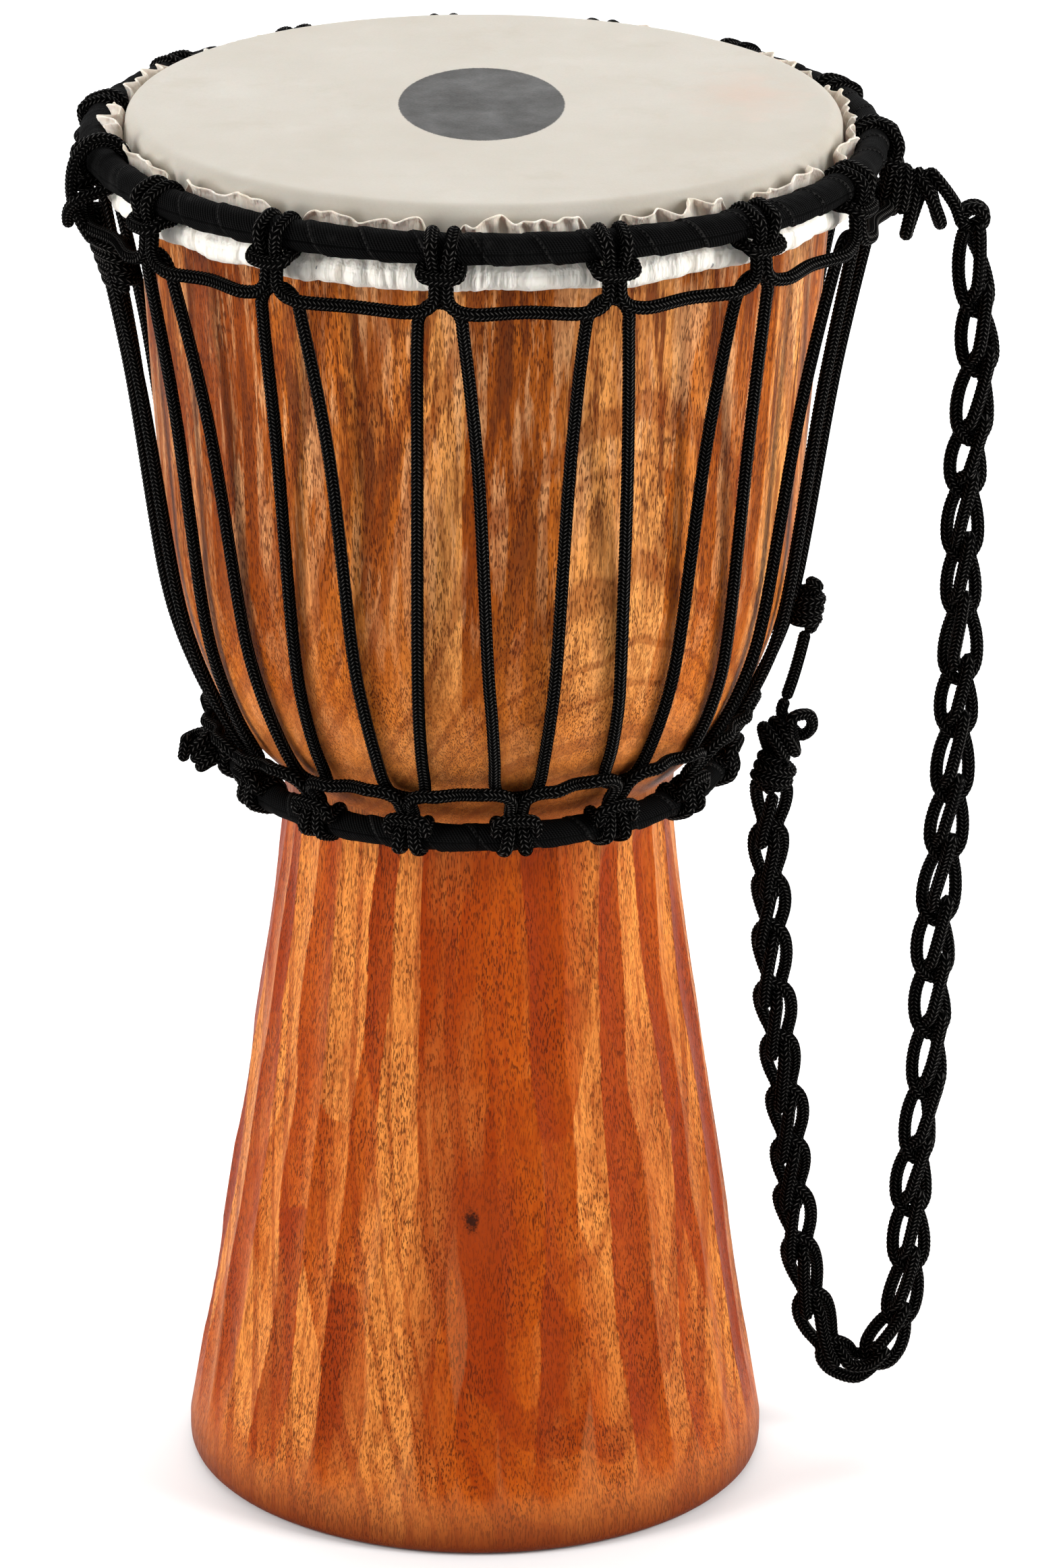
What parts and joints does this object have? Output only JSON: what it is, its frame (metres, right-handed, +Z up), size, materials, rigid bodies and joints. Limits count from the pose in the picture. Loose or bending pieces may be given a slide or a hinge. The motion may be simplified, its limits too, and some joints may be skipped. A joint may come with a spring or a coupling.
{
  "type": "djembe",
  "caption": "Rope-tuned goblet drum: carved hardwood shell, goat skin head on hidden steel hoops, black rope rigging and a chain-knotted carry strap.",
  "frame": {"origin": "centre of the foot, on the floor", "axes": "+Z up the drum's axis to the head; the front in use and in the picture faces -Y; the carry strap hangs on the +X side"},
  "size_m": [0.3919, 0.3514, 0.61],
  "materials": {
    "wood": "hand-carved hardwood, orange-brown stain under a satin varnish",
    "skin": "shaved goat skin, natural cream, dry matt",
    "steel": "plain round bar, welded into a hoop",
    "webbing": "black ribbed webbing, wound",
    "rope": "black braided low-stretch rope, slight sheen"
  },
  "bodies": {
    "drum": {"shell": "wood", "drumhead": "skin", "lower_ring": "steel", "lower_ring_wrap": "webbing", "lower_cradle_rope": "rope", "lower_stopper_knot": "rope", "tuning_rope": "rope", "carry_strap": "rope", "strap_tail": "rope", "strap_lower_knot": "rope", "strap_tail_knot": "rope"},
    "crown_rigging": {"flesh_ring": "steel", "crown_ring": "steel", "crown_ring_wrap": "webbing", "crown_cradle_rope": "rope", "tuning_tie_off": "rope", "strap_top_knot": "rope"}
  },
  "joints": [
    {"name": "tuning_slide", "type": "slide", "parent": "drum", "child": "crown_rigging", "axis": [0, 0, 1], "range_m": [-0.006, 0.003], "deforming": ["drumhead", "tuning_rope", "carry_strap"]}
  ]
}
